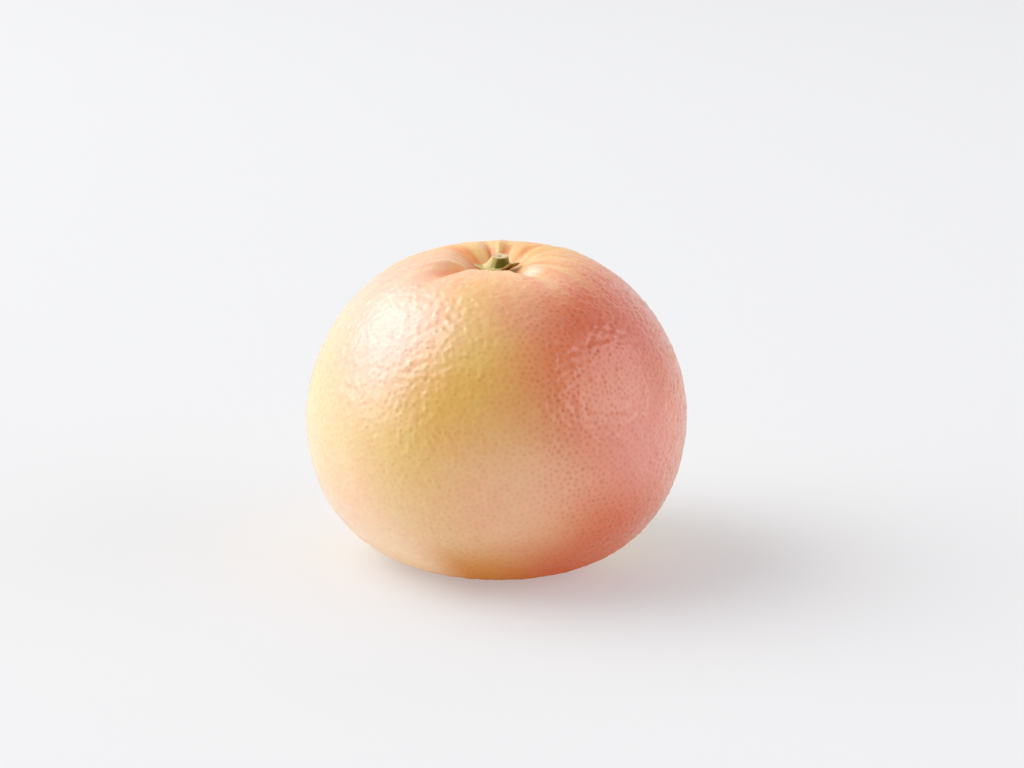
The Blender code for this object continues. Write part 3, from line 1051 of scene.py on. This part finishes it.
# %% Ribs and fibres of the stub
STUB_LEAN = math.radians(6.0)
STUB_SHIFT = 0.9
SOLID_FOOT_RADIUS = 3.1
WALL_RADII = (1.8, 2.4)  # the face ends and the wall begins between these
FOOT_TOP = 2.3
FOOT_POWER = 1.3
RIB_HEIGHT = 0.15
RIB_HALF_WIDTH = 0.35  # radians
LEFT_FLARE = 2.3
LEFT_AZIMUTH = 190.0
LEFT_HALF_WIDTH = 0.75  # radians
FIBRE_HEIGHT = 0.14
FIBRES_AROUND = 5.0
FIBRE_DRIFT = 0.35
WALL_NOISE = 0.05
FACE_HEIGHTS = (2.2, 2.35)
FACE_NOISE_HEIGHT = 0.08
FACE_NOISE_SCALE = 1.9
FOOT_DEPTH = 0.45  # how far the stub is grown into the calyx
FOOT_HEIGHTS = (0.0, 2.0)

own_place = stub_shape.verts.layers.float_vector.new("own_place")
for vertex in stub_shape.verts:
    vertex[own_place] = vertex.co * MM
    radius = math.hypot(vertex.co.x, vertex.co.y)
    if radius < 0.1:
        continue
    azimuth = math.atan2(vertex.co.y, vertex.co.x)
    on_wall = eased(radius, *WALL_RADII)
    at_foot = (1.0 - max(0.0, min(1.0, vertex.co.z / FOOT_TOP))) ** FOOT_POWER
    rib = sum(math.exp(-((turn_between(azimuth, lobe.azimuth) / RIB_HALF_WIDTH) ** 2)) for lobe in LOBES)
    left = math.exp(-((turn_between(azimuth, LEFT_AZIMUTH) / LEFT_HALF_WIDTH) ** 2))
    grow = on_wall * at_foot * (RIB_HEIGHT * rib + LEFT_FLARE * left)
    ray = Vector((math.cos(azimuth), math.sin(azimuth), 0.0)) * FIBRES_AROUND
    grow += on_wall * FIBRE_HEIGHT * noise.noise(ray + Vector((0.0, 0.0, FIBRE_DRIFT * vertex.co.z)))
    grow += WALL_NOISE * noise.noise(Vector((azimuth, radius * 2, 9.0)))
    vertex.co.x *= (radius + grow) / radius
    vertex.co.y *= (radius + grow) / radius
    on_face = eased(vertex.co.z, *FACE_HEIGHTS) * (1 - on_wall)
    vertex.co.z += on_face * FACE_NOISE_HEIGHT * noise.noise(vertex.co * FACE_NOISE_SCALE)
for vertex in stub_shape.verts:
    vertex.co.z -= FOOT_DEPTH * (1.0 - eased(vertex.co.z, *FOOT_HEIGHTS))
foot = smooth_crown_height(0.0, 0.0) + CALYX_THICKNESS + 2 * GAP + SOLID_FOOT_RADIUS * math.sin(STUB_LEAN)
bmesh.ops.transform(stub_shape, matrix=Matrix.Rotation(STUB_LEAN, 4, "X"), verts=stub_shape.verts)
bmesh.ops.translate(stub_shape, vec=(STUB_SHIFT, 0.0, foot), verts=stub_shape.verts)
bmesh.ops.scale(stub_shape, vec=(MM, MM, MM), verts=stub_shape.verts)
stub = add_object("stem_stub", stub_shape)
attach(stub, "root")
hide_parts("stem")
print("stub stands at", round(foot - FOOT_DEPTH, 2), "mm")

# %% [markdown]
# ## The colours of the stub
#
# The bark is green with pale fibres, with painted light on its left flare and painted shade at the
# front. The cut face is dry wood, darker in spots and towards its rim, with a grey pith in the middle.
# All of it is read from the place that each point had while the stub stood upright: the height and the
# distance from the axis tell bark from wood.

# %% Stem material
BARK_GREEN = (0.36, 0.31, 0.07)
BARK_PALE = (0.78, 0.65, 0.31)
BARK_PAINTED_SHADE = (0.17, 0.145, 0.006)
# painted light on the left flare and painted shade at the front of the bark
STEM_PATCHES = (
    Patch("lit_flare", BARK_PALE, (-3.4, -0.4, 1.2), 2.5, 1.3, 1.0, 0.85, 700.0),
    Patch("shaded_front", BARK_PAINTED_SHADE, (1.0, -2.7, 0.5), 2.3, 0.8, 0.8, 1.0, 900.0),
)
CUT_WOOD = (0.82, 0.62, 0.40)
CUT_SHADE = (0.68, 0.49, 0.30)
CUT_EDGE = (0.70, 0.56, 0.27)
PITH = (0.38, 0.29, 0.22)
PITH_RADII = (0.25 * MM, 0.7 * MM)
EDGE_RADII = (1.9 * MM, 2.4 * MM)
CUT_RADII = (2.25 * MM, 2.45 * MM)  # inside the first is wood, outside the second is bark
RIM_HEIGHTS = (2.30 * MM, 2.56 * MM)  # the rim turns from bark to wood between these
WALL_HEIGHTS = (1.9 * MM, 2.2 * MM)  # below the first there is no wood
STEM_GRAIN = 0.10 * MM

material, tree, surface = new_material("stem")
stub.data.materials.append(material)
own = kept_by_mesh(tree, "own_place", "Vector")
parts = add_node(tree, "ShaderNodeSeparateXYZ", {0: own}).outputs
on_axis = add_node(tree, "ShaderNodeCombineXYZ", {"Z": parts["Z"]}).outputs[0]
from_axis = distance(tree, own, on_axis)
fibre = use_group(tree, streak_group, {"Vector": own, "Around": 12.0, "Along": 140.0})["Streak"]
grain = read_noise(tree, own, 1400.0, 4.0)
bark = blend(tree, product(tree, fibre, 0.5), BARK_GREEN, BARK_PALE)
bark, _ = paint(tree, own, bark, STEM_PATCHES)
wood = blend(tree, remap(tree, grain, 0.35, 0.7), CUT_WOOD, CUT_SHADE)
wood = blend(tree, remap(tree, from_axis, *EDGE_RADII, 0.0, 0.8), wood, CUT_EDGE)
wood = blend(tree, remap(tree, from_axis, *PITH_RADII, 0.9, 0.0), wood, PITH)
on_rim = product(tree, remap(tree, parts["Z"], *RIM_HEIGHTS), 0.8)
on_cut = calculate(tree, "MAXIMUM", on_rim, remap(tree, from_axis, *CUT_RADII, 1.0, 0.0))
on_cut = product(tree, on_cut, remap(tree, parts["Z"], *WALL_HEIGHTS))
colour = blend(tree, on_cut, bark, wood)
roughness = remap(tree, on_cut, 0.0, 1.0, 0.55, 0.8)
height = calculate(tree, "MULTIPLY_ADD", fibre, FIBRE_DEPTH, product(tree, grain, STEM_GRAIN))
add_bump(tree, surface, height)
feed(tree, surface, {"Base Color": colour, "Roughness": roughness, "Specular IOR Level": 0.25})
print("stem material ready")
